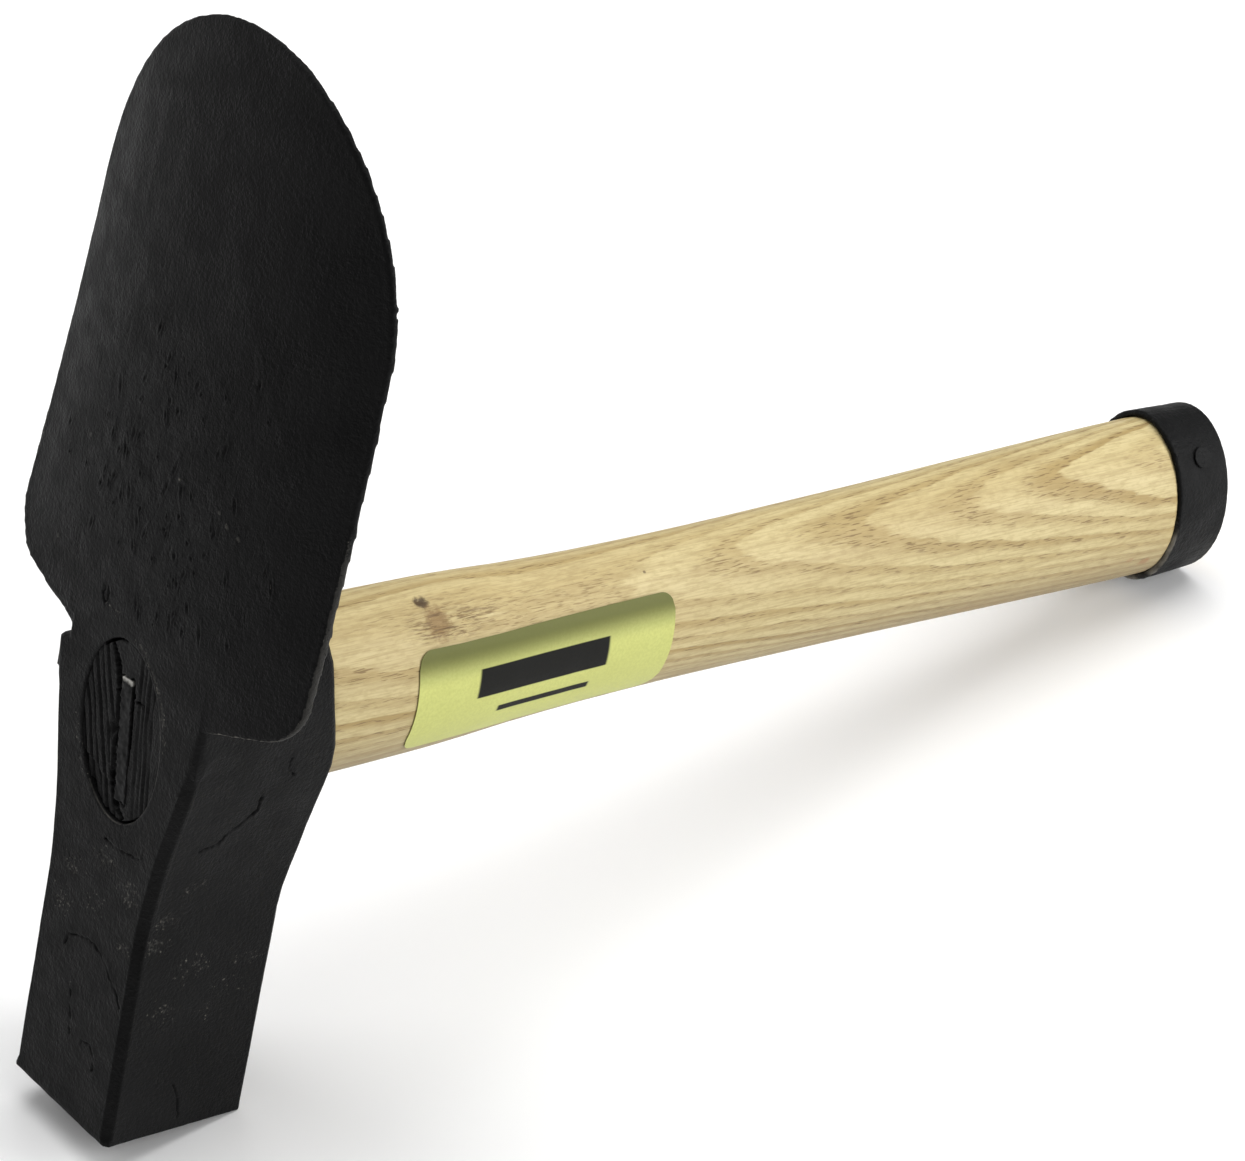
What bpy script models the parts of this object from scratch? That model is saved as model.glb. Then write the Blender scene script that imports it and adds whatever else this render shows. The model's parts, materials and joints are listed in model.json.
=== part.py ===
"""Paver's hammer: a forged head with a square poll and a scoop blade on a short ash handle.

The hammer is modelled in its own axes: X across the head, Y along the handle from the head to the
butt, Z from the striking face up to the tip of the blade, with the middle of the striking face at
the origin. An empty then leans the whole hammer back until it rests on the poll's rear edge and on
the butt ferrule, which is how it lies on the ground. Lengths are in metres.
"""

import math

import bmesh
import bpy
from mathutils import Matrix, Vector

# Clearance left between two pieces that touch on the real hammer.
GAP = 0.0003

# Head: poll, eye collar and neck. Each station is (height, half width across, rear face).
FRONT = -0.0194
EDGE_CHAMFER = 0.0014
HEAD_STATIONS = (
    (0.000, 0.0190, 0.0204),
    (0.056, 0.0190, 0.0206),
    (0.078, 0.0212, 0.0226),
    (0.097, 0.0252, 0.0233),
    (0.115, 0.0277, 0.0187),
    (0.128, 0.0272, 0.0158),
    (0.150, 0.0225, 0.0030),
    (0.175, 0.0150, -0.0075),
    (0.203, 0.0070, -0.0125),
)
HEAD_SECTION_STEP = 0.006
NECK_START = 0.112
NECK_LEAN = 0.05

# Scoop blade: outline seen from the front, then the cupped plate that fills it.
BLADE_HALF_WIDTH = 0.0534
CROWN_HALF_WIDTH = 0.0518
BLADE_TIP = 0.270
BLADE_CROWN_START = 0.212
SHOULDER_ROOT = (0.0270, 0.1165)
SHOULDER_END = (0.0440, 0.1235)
SHOULDER_RADIUS = 0.0125
BLADE_FOOT = 0.104
BLADE_THICKNESS = 0.0024
BLADE_RIM_THICKNESS = 0.0013
BLADE_RIM_WIDTH = 0.011
BLADE_CORE_THICKNESS = 0.0034
BLADE_CORE_HALF_WIDTH = 0.034
CUP_DEPTH = 0.0102
CUP_POWER = 2.4
CUP_START = 0.095
CUP_LENGTH = 0.120
SWEEP_START = 0.115
SWEEP_BACK = 0.0079
SWEEP_POWER = 2.2

# Eye: a long oval, a little askew in the head, wider at the front so that the wedge locks it.
EYE_HEIGHT = 0.1016
EYE_HALF_ACROSS = 0.0140
EYE_HALF_ALONG = 0.0214
EYE_FLARE = 0.0006
EYE_TILT = math.radians(-8)

# Handle: each station is (distance from the head's middle, half width, half height).
HANDLE_STATIONS = (
    (0.0290, 0.0160, 0.0214),
    (0.0660, 0.0161, 0.0216),
    (0.0900, 0.0153, 0.0204),
    (0.1150, 0.0147, 0.0196),
    (0.1400, 0.0145, 0.0194),
    (0.2000, 0.0151, 0.0202),
    (0.2600, 0.0161, 0.0215),
    (0.3076, 0.0167, 0.0223),
)
HANDLE_SECTION_STEP = 0.012
TENON_END = -0.0184
TENON_ROOT = 0.0225
OVAL_SIDES = 48

# Steel wedge in the saw kerf of the tenon.
KERF_WIDTH = 0.0010
KERF_DEPTH = 0.034
WEDGE_LENGTH = 0.030
WEDGE_HEIGHT = 0.030
WEDGE_THICKNESS = 0.0040
WEDGE_EDGE = 0.0009
WEDGE_OFFSET = Vector((0.0012, 0.0, -0.0018))
WEDGE_PROUD = 0.0008

# Butt ferrule and the nail that holds it.
FERRULE_START = 0.3082
FERRULE_END = 0.3276
FERRULE_SKEW = math.tan(math.radians(-6))
FERRULE_HALF_ACROSS = 0.0175
FERRULE_HALF_ALONG = 0.0245
FERRULE_WALL = 0.0016
FERRULE_TAPER = 0.0007
FERRULE_EDGE = 0.0005
BUTT_RECESS = 0.0010
NAIL_ANGLE = math.radians(43)
NAIL_SHANK_RADIUS = 0.0011
NAIL_SHANK_LENGTH = 0.0130
NAIL_HEAD_RADIUS = 0.0029
NAIL_HEAD_HEIGHT = 0.0010
NAIL_SIDES = 20

# Label: a foil sticker on the side of the handle.
LABEL_START = 0.0530
LABEL_END = 0.1326
LABEL_TOP = 0.0118
LABEL_BOTTOM = -0.0135
LABEL_LIFT = 0.0005
LABEL_THICKNESS = 0.0003


def clear_scene():
    for item in list(bpy.data.objects):
        bpy.data.objects.remove(item)


def material(name, colour, roughness, metallic):
    made = bpy.data.materials.new(name)
    made.use_nodes = True
    shader = made.node_tree.nodes["Principled BSDF"]
    shader.inputs["Base Color"].default_value = (*colour, 1.0)
    shader.inputs["Roughness"].default_value = roughness
    shader.inputs["Metallic"].default_value = metallic
    return made


def smoothstep(t):
    t = max(0.0, min(1.0, t))
    return t * t * (3 - 2 * t)


def between(stations, place):
    """The values of the stations at a place, on a smooth curve through them."""
    places = [s[0] for s in stations]
    place = max(places[0], min(places[-1], place))
    after = next(i for i, p in enumerate(places) if p >= place)
    if after == 0:
        return stations[0][1:]
    before = after - 1
    span = places[after] - places[before]
    t = (place - places[before]) / span
    found = []
    for column in range(1, len(stations[0])):
        values = [s[column] for s in stations]
        start, end = values[before], values[after]
        slopes = [slope_at(places, values, i) * span for i in (before, after)]
        found.append(
            start * (2 * t**3 - 3 * t**2 + 1)
            + slopes[0] * (t**3 - 2 * t**2 + t)
            + end * (3 * t**2 - 2 * t**3)
            + slopes[1] * (t**3 - t**2)
        )
    return tuple(found)


def slope_at(places, values, i):
    """Slope at a station that never overshoots: level at an end or a peak, gentle elsewhere."""
    if i in (0, len(places) - 1):
        return 0.0
    left = (values[i] - values[i - 1]) / (places[i] - places[i - 1])
    right = (values[i + 1] - values[i]) / (places[i + 1] - places[i])
    if left * right <= 0:
        return 0.0
    return 2 * left * right / (left + right)


def steps(start, end, step):
    """Evenly spaced places from start to end, about one step apart."""
    count = max(1, round((end - start) / step))
    return [start + (end - start) * i / count for i in range(count + 1)]


def add_object(name, mesh_builder, look=None):
    mesh = bpy.data.meshes.new(name)
    bmesh.ops.recalc_face_normals(mesh_builder, faces=mesh_builder.faces)
    mesh_builder.to_mesh(mesh)
    mesh_builder.free()
    made = bpy.data.objects.new(name, mesh)
    bpy.context.scene.collection.objects.link(made)
    if look is not None:
        mesh.materials.append(look)
    return made


def loft(rings):
    """A closed solid through rings of points, each with the same number of points."""
    builder = bmesh.new()
    loops = [[builder.verts.new(p) for p in ring] for ring in rings]
    for low, high in zip(loops, loops[1:]):
        for i in range(len(low)):
            j = (i + 1) % len(low)
            builder.faces.new((low[i], low[j], high[j], high[i]))
    builder.faces.new(loops[0])
    builder.faces.new(loops[-1])
    return builder


def cutter(made):
    made.hide_render = True
    made.display_type = "WIRE"
    return made


def boolean(target, tool, operation):
    change = target.modifiers.new(operation.lower() + "_" + tool.name, "BOOLEAN")
    change.operation = operation
    change.solver = "EXACT"
    change.object = tool
    cutter(tool)


def shade_smooth(target, degrees):
    target.data.shade_smooth()
    target.data.set_sharp_from_angle(angle=math.radians(degrees))


def oval(place, across, along, tilt=0.0, skew=0.0):
    """A ring of points on an upright oval about the handle's axis, tilted or cut askew."""
    turn = Matrix.Rotation(tilt, 3, "Y")
    ring = []
    for i in range(OVAL_SIDES):
        angle = 2 * math.pi * i / OVAL_SIDES
        point = turn @ Vector((across * math.cos(angle), 0.0, along * math.sin(angle)))
        ring.append(point + Vector((0.0, place + skew * point.z, EYE_HEIGHT)))
    return ring


def head_section(height):
    """A chamfered rectangle across the poll, the collar or the neck."""
    half, rear = between(HEAD_STATIONS, height)
    front = FRONT + NECK_LEAN * max(0.0, height - NECK_START)
    cut = min(EDGE_CHAMFER, 0.35 * (rear - front))
    corners = (
        (half - cut, front),
        (half, front + cut),
        (half, rear - cut),
        (half - cut, rear),
    )
    right = [Vector((x, y, height)) for x, y in corners]
    left = [Vector((-x, y, height)) for x, y in reversed(corners)]
    return right + left


def blade_front(x, height):
    """The front face of the blade: swept back towards the tip and cupped across."""
    rise = (height - SWEEP_START) / (BLADE_TIP - SWEEP_START)
    sweep = SWEEP_BACK * max(0.0, rise) ** SWEEP_POWER
    sunk = 0.04 * max(0.0, SWEEP_START - height)
    turn_in = max(0.0, min(1.0, (height - CUP_START) / CUP_LENGTH))
    cup = CUP_DEPTH * math.sin(math.pi / 2 * turn_in) * (abs(x) / BLADE_HALF_WIDTH) ** CUP_POWER
    return FRONT + sweep + sunk + cup


def blade_back(x, height):
    """The back face: thickest along the middle, thinned to a rim round the crown."""
    core = smoothstep(1 - abs(x) / BLADE_CORE_HALF_WIDTH)
    thickness = BLADE_THICKNESS + (BLADE_CORE_THICKNESS - BLADE_THICKNESS) * core
    rise = max(0.0, height - BLADE_CROWN_START) / (BLADE_TIP - BLADE_CROWN_START)
    inside = BLADE_HALF_WIDTH * (1 - math.hypot(x / BLADE_HALF_WIDTH, rise))
    rim = 1 - smoothstep(inside / BLADE_RIM_WIDTH)
    rim *= smoothstep((height - SHOULDER_END[1]) / (BLADE_CROWN_START - SHOULDER_END[1]))
    return blade_front(x, height) + thickness + (BLADE_RIM_THICKNESS - thickness) * rim


def blade_slab():
    """A cupped slab, wider and longer than the blade, to be trimmed to its outline."""
    margin = 0.006
    across = steps(-BLADE_HALF_WIDTH - margin, BLADE_HALF_WIDTH + margin, 0.0054)
    heights = steps(BLADE_FOOT - margin, BLADE_TIP + margin, 0.0064)
    builder = bmesh.new()
    sheets = []
    for face in (blade_front, blade_back):
        sheets.append([[builder.verts.new((x, face(x, z), z)) for x in across] for z in heights])
    front, back = sheets
    rows, columns = len(heights), len(across)
    for sheet in sheets:
        for r in range(rows - 1):
            for c in range(columns - 1):
                corners = (sheet[r][c], sheet[r][c + 1], sheet[r + 1][c + 1], sheet[r + 1][c])
                builder.faces.new(corners)
    for r in (0, rows - 1):
        for c in range(columns - 1):
            builder.faces.new((front[r][c], front[r][c + 1], back[r][c + 1], back[r][c]))
    for c in (0, columns - 1):
        for r in range(rows - 1):
            builder.faces.new((front[r][c], front[r + 1][c], back[r + 1][c], back[r][c]))
    return builder


def blade_outline():
    """Points of the blade's outline from the front: shoulders, tapering sides, oval crown."""
    root, end = Vector(SHOULDER_ROOT), Vector(SHOULDER_END)
    slope = (end - root).normalized()
    inward = Vector((-slope.y, slope.x))
    centre_x = BLADE_HALF_WIDTH - SHOULDER_RADIUS
    run = (centre_x - root.x - inward.x * SHOULDER_RADIUS) / slope.x
    centre = root + slope * run + inward * SHOULDER_RADIUS
    start = math.atan2(-inward.y, -inward.x)
    right = [Vector((root.x, BLADE_FOOT)), root]
    for i in range(9):
        angle = start * (1 - i / 8)
        right.append(centre + SHOULDER_RADIUS * Vector((math.cos(angle), math.sin(angle))))
    crown = BLADE_TIP - BLADE_CROWN_START
    for i in range(16):
        angle = math.pi / 2 * i / 16
        right.append(
            Vector((CROWN_HALF_WIDTH * math.cos(angle), BLADE_CROWN_START + crown * math.sin(angle)))
        )
    left = [Vector((-p.x, p.y)) for p in reversed(right)]
    return right + [Vector((0.0, BLADE_TIP))] + left


def prism(outline, near, far):
    """A solid with an outline in X and Z, running along Y from near to far."""
    return loft([[Vector((p.x, y, p.y)) for p in outline] for y in (near, far)])


def build_head(steel):
    straight = [HEAD_STATIONS[0][0], HEAD_STATIONS[1][0]]
    curved = steps(HEAD_STATIONS[1][0], HEAD_STATIONS[-1][0], HEAD_SECTION_STEP)[1:]
    head = add_object("head", loft([head_section(z) for z in straight + curved]), steel)
    trim = add_object("blade_outline", prism(blade_outline(), -0.04, 0.02))
    blade = add_object("blade_slab", blade_slab())
    boolean(blade, trim, "INTERSECT")
    boolean(head, blade, "UNION")
    reach = 0.035
    grow = EYE_FLARE * reach / -FRONT
    rings = [
        oval(-reach, EYE_HALF_ACROSS + grow, EYE_HALF_ALONG + grow, tilt=EYE_TILT),
        oval(0.0, EYE_HALF_ACROSS, EYE_HALF_ALONG, tilt=EYE_TILT),
        oval(reach, EYE_HALF_ACROSS, EYE_HALF_ALONG, tilt=EYE_TILT),
    ]
    boolean(head, add_object("eye", loft(rings)), "DIFFERENCE")
    shade_smooth(head, 24)
    return head


def handle_oval(place):
    """Half width and half height of the handle outside the eye."""
    return between(HANDLE_STATIONS, place)


def build_handle(wood):
    across, along = EYE_HALF_ACROSS - GAP, EYE_HALF_ALONG - GAP
    grow = EYE_FLARE * TENON_END / FRONT
    rings = [
        oval(TENON_END, across + grow, along + grow, tilt=EYE_TILT),
        oval(0.0, across, along, tilt=EYE_TILT),
        oval(TENON_ROOT, across, along, tilt=EYE_TILT),
    ]
    swell_start = HANDLE_STATIONS[0][0]
    for place in steps(swell_start, FERRULE_START - GAP, HANDLE_SECTION_STEP):
        share = (place - swell_start) / (FERRULE_START - swell_start)
        twist = EYE_TILT * (1 - smoothstep(6 * share))
        rings.append(oval(place, *handle_oval(place), tilt=twist, skew=FERRULE_SKEW * share**4))
    ends = (FERRULE_START - GAP + 0.0001, 0.0), (FERRULE_END - BUTT_RECESS, FERRULE_TAPER)
    for place, taper in ends:
        seat = FERRULE_WALL + GAP + taper
        across, along = FERRULE_HALF_ACROSS - seat, FERRULE_HALF_ALONG - seat
        rings.append(oval(place, across, along, skew=FERRULE_SKEW))
    handle = add_object("handle", loft(rings), wood)
    boolean(handle, kerf_cutter(), "DIFFERENCE")
    boolean(handle, wedge_solid("wedge_pocket", GAP), "DIFFERENCE")
    boolean(handle, nail_hole("nail_hole_in_wood"), "DIFFERENCE")
    shade_smooth(handle, 30)
    return handle


def kerf_cutter():
    """The saw cut along the tenon's long way, from its end towards the handle."""
    half, tall = KERF_WIDTH / 2, EYE_HALF_ALONG * 1.3
    outline = [Vector(p) for p in ((-half, -tall), (half, -tall), (half, tall), (-half, tall))]
    kerf = add_object("kerf", prism(outline, TENON_END - 0.002, TENON_END + KERF_DEPTH))
    kerf.matrix_world = eye_placing()
    return kerf


def eye_placing():
    """Puts a solid modelled about the eye's axis where the eye is."""
    return Matrix.Translation((0.0, 0.0, EYE_HEIGHT)) @ Matrix.Rotation(EYE_TILT, 4, "Y")


def wedge_solid(name, clearance, look=None):
    """The wedge, or with a clearance the pocket that it is driven into."""
    outer = TENON_END - (WEDGE_PROUD if clearance == 0 else 0.003)
    inner = TENON_END + WEDGE_LENGTH + clearance
    tall = WEDGE_HEIGHT / 2 + clearance
    rings = []
    for place, thickness in ((outer, WEDGE_THICKNESS), (inner, WEDGE_EDGE)):
        half = thickness / 2 + clearance
        corners = ((-half, -tall), (half, -tall), (half, tall), (-half, tall))
        rings.append([Vector((x, place, z)) + WEDGE_OFFSET for x, z in corners])
    made = add_object(name, loft(rings), look)
    made.matrix_world = eye_placing()
    return made


def build_wedge(bare_steel):
    return wedge_solid("steel_wedge", 0.0, bare_steel)


def build_ferrule(steel):
    """A slightly tapered oval band with its edges broken, open at both ends."""
    front, rear = FERRULE_HALF_ACROSS, FERRULE_HALF_ACROSS - FERRULE_TAPER
    height = FERRULE_HALF_ALONG - FERRULE_HALF_ACROSS
    profile = (
        (FERRULE_START, front - FERRULE_WALL),
        (FERRULE_START, front - FERRULE_EDGE),
        (FERRULE_START + FERRULE_EDGE, front),
        (FERRULE_END - FERRULE_EDGE, rear),
        (FERRULE_END, rear - FERRULE_EDGE),
        (FERRULE_END, rear - FERRULE_WALL),
    )
    builder = bmesh.new()
    loops = []
    for place, half in profile:
        ring = oval(place, half, half + height, skew=FERRULE_SKEW)
        loops.append([builder.verts.new(p) for p in ring])
    for near, far in zip(loops, loops[1:] + loops[:1]):
        for i in range(OVAL_SIDES):
            j = (i + 1) % OVAL_SIDES
            builder.faces.new((near[i], near[j], far[j], far[i]))
    ferrule = add_object("butt_ferrule", builder, steel)
    boolean(ferrule, nail_hole("nail_hole_in_ferrule"), "DIFFERENCE")
    shade_smooth(ferrule, 30)
    return ferrule


def nail_placing():
    """The nail's own axes, +Z out of its head, standing on the ferrule."""
    across = FERRULE_HALF_ACROSS - FERRULE_TAPER / 2
    along = FERRULE_HALF_ALONG - FERRULE_TAPER / 2
    spot = Vector((across * math.cos(NAIL_ANGLE), 0.0, along * math.sin(NAIL_ANGLE)))
    out = Vector((spot.x / across**2, 0.0, spot.z / along**2)).normalized()
    middle = (FERRULE_START + FERRULE_END) / 2 + FERRULE_SKEW * spot.z
    spot += Vector((0.0, middle, EYE_HEIGHT))
    return Matrix.Translation(spot) @ out.to_track_quat("Z", "Y").to_matrix().to_4x4()


def turned(profile):
    """A round solid about Z from (radius, height) points, pointed or closed at both ends."""
    builder = bmesh.new()
    foot = builder.verts.new((0.0, 0.0, profile[0][1]))
    top = builder.verts.new((0.0, 0.0, profile[-1][1]))
    loops = []
    for radius, height in profile[1:-1]:
        loop = []
        for i in range(NAIL_SIDES):
            angle = 2 * math.pi * i / NAIL_SIDES
            loop.append(
                builder.verts.new((radius * math.cos(angle), radius * math.sin(angle), height))
            )
        loops.append(loop)
    for low, high in zip(loops, loops[1:]):
        for i in range(NAIL_SIDES):
            j = (i + 1) % NAIL_SIDES
            builder.faces.new((low[i], low[j], high[j], high[i]))
    for i in range(NAIL_SIDES):
        j = (i + 1) % NAIL_SIDES
        builder.faces.new((foot, loops[0][j], loops[0][i]))
        builder.faces.new((top, loops[-1][i], loops[-1][j]))
    return builder


def nail_hole(name):
    radius = NAIL_SHANK_RADIUS + GAP
    foot = -NAIL_SHANK_LENGTH - 2 * GAP
    made = add_object(name, turned(((0, foot), (radius, foot), (radius, 0.003), (0, 0.003))))
    made.matrix_world = nail_placing()
    return made


def build_nail(steel):
    foot = -NAIL_SHANK_LENGTH
    profile = [(0, foot), (NAIL_SHANK_RADIUS, foot + 0.003), (NAIL_SHANK_RADIUS, GAP)]
    profile.append((NAIL_HEAD_RADIUS, GAP))
    for i in range(4):
        angle = math.pi / 2 * i / 4
        height = GAP * 2 + NAIL_HEAD_HEIGHT * math.sin(angle)
        profile.append((NAIL_HEAD_RADIUS * math.cos(angle), height))
    profile.append((0, GAP * 2 + NAIL_HEAD_HEIGHT))
    nail = add_object("ferrule_nail", turned(profile), steel)
    nail.matrix_world = nail_placing()
    shade_smooth(nail, 40)
    return nail


def label_point(place, height, lift):
    """A point above the handle's side, at a height from the handle's middle line."""
    across, along = handle_oval(place)
    angle = math.asin(height / along)
    side = Vector(((across + lift) * math.cos(angle), 0.0, (along + lift) * math.sin(angle)))
    return side + Vector((0.0, place, EYE_HEIGHT))


def build_label(foil):
    places = steps(LABEL_START, LABEL_END, 0.004)
    heights = steps(LABEL_BOTTOM, LABEL_TOP, 0.0026)
    rings = []
    for place in places:
        inner = [label_point(place, z, LABEL_LIFT) for z in heights]
        lift = LABEL_LIFT + LABEL_THICKNESS
        outer = [label_point(place, z, lift) for z in reversed(heights)]
        rings.append(inner + outer)
    label = add_object("label", loft(rings), foil)
    shade_smooth(label, 30)
    return label


def shown_points(pieces):
    """The corners of the finished pieces, as the viewport shows them."""
    bpy.context.view_layer.update()
    graph = bpy.context.evaluated_depsgraph_get()
    points = []
    for item in pieces:
        shape = item.evaluated_get(graph)
        points += [shape.matrix_world @ v.co for v in shape.data.vertices]
    return points


def resting_lean(head_points, butt_points):
    """How far the hammer leans back before its butt ferrule is as low as its poll."""
    upright, flat = 0.0, math.pi / 2
    for _ in range(40):
        lean = (upright + flat) / 2
        head, butt = (
            min(p.z * math.cos(lean) - p.y * math.sin(lean) for p in points)
            for points in (head_points, butt_points)
        )
        if butt > head:
            upright = lean
        else:
            flat = lean
    return lean


def rest_on_ground(pieces, guides):
    """Leans the hammer back on its poll's rear edge and its ferrule, with its box on the origin."""
    by_name = {item.name: item for item in pieces}
    lean = resting_lean(shown_points([by_name["head"]]), shown_points([by_name["butt_ferrule"]]))
    hammer = bpy.data.objects.new("hammer", None)
    bpy.context.scene.collection.objects.link(hammer)
    for item in pieces + guides:
        item.parent = hammer
    hammer.rotation_euler = (-lean, 0.0, 0.0)
    points = shown_points(pieces)
    low = Vector([min(p[axis] for p in points) for axis in range(3)])
    high = Vector([max(p[axis] for p in points) for axis in range(3)])
    hammer.location = (-(low.x + high.x) / 2, -(low.y + high.y) / 2, -low.z)


def main():
    clear_scene()
    black_steel = material("black_painted_steel", (0.020, 0.020, 0.021), 0.42, 0.0)
    ash = material("ash_wood", (0.70, 0.52, 0.29), 0.50, 0.0)
    wedge_steel = material("wedge_steel", (0.045, 0.045, 0.047), 0.40, 0.6)
    foil = material("gold_foil", (0.55, 0.58, 0.17), 0.28, 0.7)
    ferrule_steel = material("ferrule_steel", (0.022, 0.023, 0.025), 0.38, 0.0)
    nail_steel = material("nail_steel", (0.030, 0.031, 0.033), 0.38, 0.2)
    pieces = [
        build_head(black_steel),
        build_handle(ash),
        build_wedge(wedge_steel),
        build_ferrule(ferrule_steel),
        build_nail(nail_steel),
        build_label(foil),
    ]
    guides = [item for item in bpy.data.objects if item not in pieces]
    rest_on_ground(pieces, guides)


main()
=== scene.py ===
"""Looks of the paver's hammer: forged head in black paint, ash handle, steel wedge, foil label.

Every piece is made in the hammer's own axes, in metres: X across the head, Y from the head to the
butt, Z from the striking face up to the tip of the blade, with the middle of the striking face at
the origin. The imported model's mounts say where those axes lie in the row frame.
"""

import json
import math
import random

import bmesh
import bpy
import numpy as np
from mathutils import Matrix, Vector, noise
from mathutils.bvhtree import BVHTree


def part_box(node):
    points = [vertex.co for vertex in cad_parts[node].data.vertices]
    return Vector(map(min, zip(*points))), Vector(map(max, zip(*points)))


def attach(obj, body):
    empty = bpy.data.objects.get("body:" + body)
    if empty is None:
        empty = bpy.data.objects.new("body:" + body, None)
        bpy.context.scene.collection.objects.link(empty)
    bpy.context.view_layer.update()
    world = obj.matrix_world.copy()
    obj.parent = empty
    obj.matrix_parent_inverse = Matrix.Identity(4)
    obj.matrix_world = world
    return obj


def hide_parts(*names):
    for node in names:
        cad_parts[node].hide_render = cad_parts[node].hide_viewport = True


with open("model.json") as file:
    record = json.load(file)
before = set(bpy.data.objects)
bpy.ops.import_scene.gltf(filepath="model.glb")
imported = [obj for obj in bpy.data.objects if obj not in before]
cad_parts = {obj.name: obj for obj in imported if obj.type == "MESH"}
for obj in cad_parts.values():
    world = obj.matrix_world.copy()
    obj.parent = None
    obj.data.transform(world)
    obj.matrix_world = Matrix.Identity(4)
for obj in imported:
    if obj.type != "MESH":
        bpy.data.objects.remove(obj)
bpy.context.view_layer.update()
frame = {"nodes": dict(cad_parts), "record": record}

MM = 0.001

# Camera: the direction it looks from, and the point that it looks at.
VIEW_AZIMUTH = math.radians(51.0)
VIEW_ELEVATION = math.radians(36.9)
VIEW_DISTANCE = 1.161
VIEW_TARGET = Vector((0.0155, -0.0261, 0.0972))
LENS = 142.6
SENSOR = 36.0

# Head: the front face of the poll, the eye through it, and the blade above.
FRONT = -0.0194
FACE_MIDDLE = 0.0005
EYE_CENTRE = Vector((0.0, 0.0, 0.1016))
EYE_HALF_ACROSS = 0.0140
EYE_HALF_ALONG = 0.0214
EYE_TILT = math.radians(-8)
CHAMFER = 0.0021
CHAMFER_TOP = 0.1035
BLADE_FOOT = 0.118
BLADE_HALF_WIDTH = 0.0534
BLADE_CROWN_START = 0.212
BLADE_TIP = 0.270
HEAD_VOXEL = 0.5 * MM
RIM_WIDTH = 4.0 * MM
RIM_ROUNDS = 80

# Tenon: the end of the handle that fills the eye, and the wedge driven into it.
TENON_FACE = -0.0191
TENON_FLARE = 0.5 * MM
TENON_FOOT = -0.0104
HANDLE_START = -0.0102
WEDGE_MIDDLE = (1.2, 99.8)  # millimetres, across and up
WEDGE_HALF = (2.0, 15.0)  # millimetres, across and up

# Paints: how dark each coat is, and how much it shines.
HEAD_PAINT = ((0.0046, 0.0046, 0.0047), 0.085)
TENON_PAINT = ((0.0052, 0.0052, 0.0053), 0.10)
BAND_PAINT = ((0.0038, 0.0039, 0.0040), 0.10)
BARE_STEEL = ((0.027, 0.026, 0.024), (0.17, 0.16, 0.138))

# Studio: the world's glow, and each lamp's name, place, target, size and watts.
GLOW = 0.11
LAMPS = (
    ("overhead", (-0.2, 0.5, 2.3), (0.0, 0.0, 0.0), (2.4, 2.4), 59),
    ("left_box", (-1.7, -1.0, 1.3), (0.0, 0.0, 0.1), (1.5, 1.5), 20),
    ("rear_box", (1.5, 1.8, 1.2), (0.0, 0.0, 0.1), (1.4, 1.2), 12),
    ("right_box", (1.7, 1.4, 0.7), (0.0, 0.0, 0.1), (1.2, 1.2), 37),
)


def hammer_axes():
    """Matrix from the hammer's own axes to the row frame, read from two of the mounts."""
    mounts = {mount["name"]: mount for mount in frame["record"]["mounts"]}
    up = -Vector(mounts["striking_face"]["axis"]).normalized()
    across = Vector(mounts["cheek_right"]["axis"]).normalized()
    along = up.cross(across).normalized()
    origin = Vector(mounts["striking_face"]["pos_m"]) - FACE_MIDDLE * along
    turn = Matrix((across, along, up)).transposed().to_4x4()
    return Matrix.Translation(origin) @ turn


HAMMER = hammer_axes()


# Meshes


def add_piece(name, builder, replaced=()):
    """A finished mesh as a named piece in the hammer's axes, standing for CAD nodes."""
    mesh = bpy.data.meshes.new(name)
    builder.to_mesh(mesh)
    builder.free()
    item = bpy.data.objects.new(name, mesh)
    bpy.context.scene.collection.objects.link(item)
    if replaced:
        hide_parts(*replaced)
    return item


def cad_shape(node, keep_from=None):
    """A CAD node's shape in the hammer's axes, cut off square where keep_from says."""
    builder = bmesh.new()
    builder.from_mesh(frame["nodes"][node].data)
    bmesh.ops.transform(builder, matrix=HAMMER.inverted(), verts=builder.verts)
    bmesh.ops.remove_doubles(builder, verts=builder.verts, dist=0.001 * MM)
    if keep_from is not None:
        everything = builder.verts[:] + builder.edges[:] + builder.faces[:]
        bmesh.ops.bisect_plane(
            builder,
            geom=everything,
            plane_co=(0.0, keep_from, 0.0),
            plane_no=(0.0, 1.0, 0.0),
            clear_inner=True,
        )
        rim = [edge for edge in builder.edges if edge.is_boundary]
        bmesh.ops.holes_fill(builder, edges=rim, sides=0)
    return builder


def apply_modifiers(item):
    graph = bpy.context.evaluated_depsgraph_get()
    item.data = bpy.data.meshes.new_from_object(item.evaluated_get(graph))
    item.modifiers.clear()


def remesh(item, voxel):
    """Rebuilds a closed piece as an even skin of faces the size of the voxel."""
    change = item.modifiers.new("even_skin", "REMESH")
    change.mode = "VOXEL"
    change.voxel_size = voxel
    apply_modifiers(item)


def refine(item, wanted, cuts):
    """Splits the faces whose middles are wanted into finer ones."""
    builder = bmesh.new()
    builder.from_mesh(item.data)
    middles = np.array([face.calc_center_median() for face in builder.faces])
    normals = np.array([face.normal for face in builder.faces])
    chosen = wanted(middles, normals)
    faces = [face for face, keep in zip(builder.faces, chosen) if keep]
    edges = list(dict.fromkeys(edge for face in faces for edge in face.edges))
    bmesh.ops.subdivide_edges(builder, edges=edges, cuts=cuts, use_grid_fill=True)
    builder.to_mesh(item.data)
    builder.free()


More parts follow.
